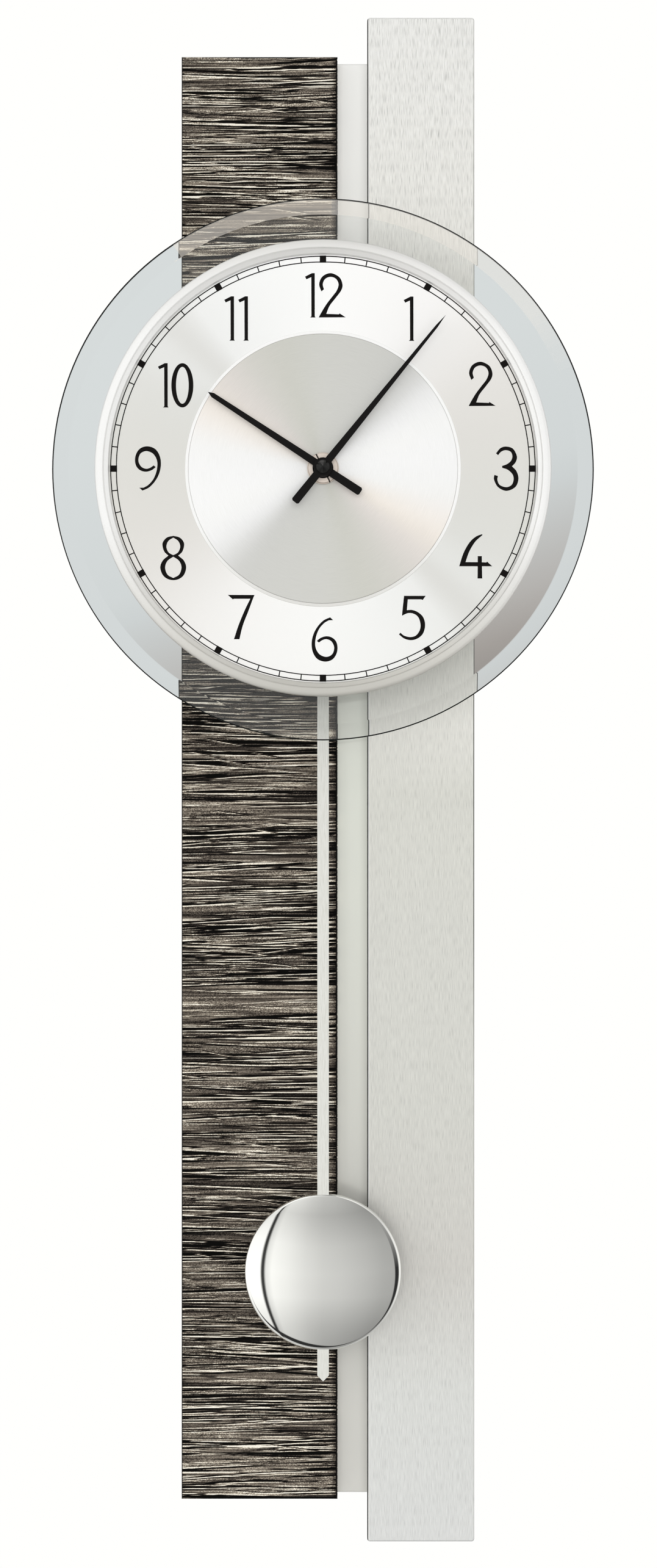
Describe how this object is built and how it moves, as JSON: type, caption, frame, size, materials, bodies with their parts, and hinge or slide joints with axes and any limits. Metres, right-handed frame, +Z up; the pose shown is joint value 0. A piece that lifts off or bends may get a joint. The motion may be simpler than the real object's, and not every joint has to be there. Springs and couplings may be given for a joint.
{
  "type": "wall pendulum clock",
  "caption": "Battery wall clock with a round dial on a glass disc, two tall panels behind it and a pendulum that swings on a flat rod.",
  "frame": {"origin": "the hanging point: where the wall screw's shank sits at the top of the keyhole slot, on the wall plane", "axes": "+Z up, +Y into the wall, the viewer at -Y, +X to the viewer's right"},
  "size_m": [0.23, 0.0893, 0.67],
  "materials": {
    "lacquer": "high gloss lacquer",
    "driftwood": "embossed weathered wood",
    "fibreboard": "raw fibreboard",
    "brushed_aluminium": "vertically brushed",
    "zinc_steel": "zinc plated",
    "pale_plastic": "fine texture",
    "rubber": "matt",
    "clear_glass": "polished, bevelled",
    "dial_silver": "fine satin with printed numerals",
    "turned_silver": "radially lit brushed disc",
    "bezel_silver": "satin",
    "pale_brass": "bright",
    "dark_plastic": "fine texture",
    "nylon": "moulded",
    "cell_sleeve": "plain sleeve",
    "circuit": "solder mask",
    "copper": "enamelled wire",
    "black_enamel": "satin black",
    "satin_aluminium": "satin",
    "polished_chrome": "mirror polish"
  },
  "bodies": {
    "stand": {"back_board": "lacquer", "wood_panel": "driftwood", "aluminium_core": "fibreboard", "aluminium_face": "brushed_aluminium", "hanger_plate": "zinc_steel", "hanger_screw_1": "zinc_steel", "hanger_screw_2": "zinc_steel", "panel_screw_1": "zinc_steel", "panel_screw_2": "zinc_steel", "panel_screw_3": "zinc_steel", "panel_screw_4": "zinc_steel", "panel_screw_5": "zinc_steel", "panel_screw_6": "zinc_steel", "housing_screw_1": "zinc_steel", "housing_screw_2": "zinc_steel", "housing_screw_3": "zinc_steel", "housing_screw_4": "zinc_steel", "movement_housing": "pale_plastic", "glass_gasket": "rubber", "glass_disc": "clear_glass", "dial_pad": "rubber", "dial_plate": "dial_silver", "centre_disc": "turned_silver", "bezel_ring": "bezel_silver", "fixing_washer": "zinc_steel", "ring_nut": "pale_brass", "case_front": "dark_plastic", "case_back": "dark_plastic", "middle_plate": "nylon", "battery": "cell_sleeve", "battery_contact": "zinc_steel", "battery_spring": "zinc_steel", "circuit_board": "circuit", "circuit_chip": "dark_plastic", "quartz_crystal": "zinc_steel", "stator_plate": "zinc_steel", "coil_core": "zinc_steel", "drive_coil": "copper", "pendulum_coil": "copper", "pivot_pin": "zinc_steel"},
    "minute": {"minute_arbor": "pale_brass", "minute_hand": "black_enamel", "hand_nut": "black_enamel"},
    "hour": {"hour_wheel": "nylon", "hour_hand": "black_enamel"},
    "motion_work": {"minute_wheel": "nylon"},
    "third": {"third_wheel": "nylon"},
    "seconds": {"seconds_wheel": "nylon"},
    "intermediate": {"intermediate_wheel": "nylon"},
    "motor_rotor": {"rotor": "nylon"},
    "knob": {"setting_knob": "nylon"},
    "swing": {"leader_arm": "nylon", "leader_magnet": "zinc_steel", "pendulum_rod": "satin_aluminium", "bob_shell": "polished_chrome", "bob_back": "zinc_steel", "bob_clip": "zinc_steel"}
  },
  "joints": [
    {"name": "minute_turn", "type": "hinge", "parent": "stand", "child": "minute", "pos_m": [0, -0.08, -0.15], "axis": [0, 1, 0], "continuous": true},
    {"name": "hour_turn", "type": "hinge", "parent": "stand", "child": "hour", "pos_m": [0, -0.08, -0.15], "axis": [0, 1, 0], "continuous": true},
    {"name": "motion_work_turn", "type": "hinge", "parent": "stand", "child": "motion_work", "pos_m": [0.00945, -0.06, -0.15167], "axis": [0, 1, 0], "continuous": true},
    {"name": "third_turn", "type": "hinge", "parent": "stand", "child": "third", "pos_m": [-0.00517, -0.056, -0.13891], "axis": [0, 1, 0], "continuous": true},
    {"name": "seconds_turn", "type": "hinge", "parent": "stand", "child": "seconds", "pos_m": [0, -0.052, -0.15], "axis": [0, 1, 0], "continuous": true},
    {"name": "intermediate_turn", "type": "hinge", "parent": "stand", "child": "intermediate", "pos_m": [-0.00782, -0.052, -0.15547], "axis": [0, 1, 0], "continuous": true},
    {"name": "rotor_turn", "type": "hinge", "parent": "stand", "child": "motor_rotor", "pos_m": [-0.00984, -0.052, -0.16302], "axis": [0, 1, 0], "continuous": true},
    {"name": "knob_turn", "type": "hinge", "parent": "stand", "child": "knob", "pos_m": [0.01873, -0.053, -0.15415], "axis": [0, 1, 0], "continuous": true},
    {"name": "pendulum_swing", "type": "hinge", "parent": "stand", "child": "swing", "pos_m": [0, -0.0433, -0.098], "axis": [0, 1, 0], "range_deg": [-5, 5]}
  ],
  "couplings": [
    {"joint": "hour_turn", "follows": "minute_turn", "ratio": 0.083333},
    {"joint": "motion_work_turn", "follows": "minute_turn", "ratio": -0.33333},
    {"joint": "third_turn", "follows": "minute_turn", "ratio": -8},
    {"joint": "seconds_turn", "follows": "minute_turn", "ratio": 60},
    {"joint": "intermediate_turn", "follows": "minute_turn", "ratio": -300},
    {"joint": "rotor_turn", "follows": "minute_turn", "ratio": 1800},
    {"joint": "knob_turn", "follows": "minute_turn", "ratio": 1}
  ]
}
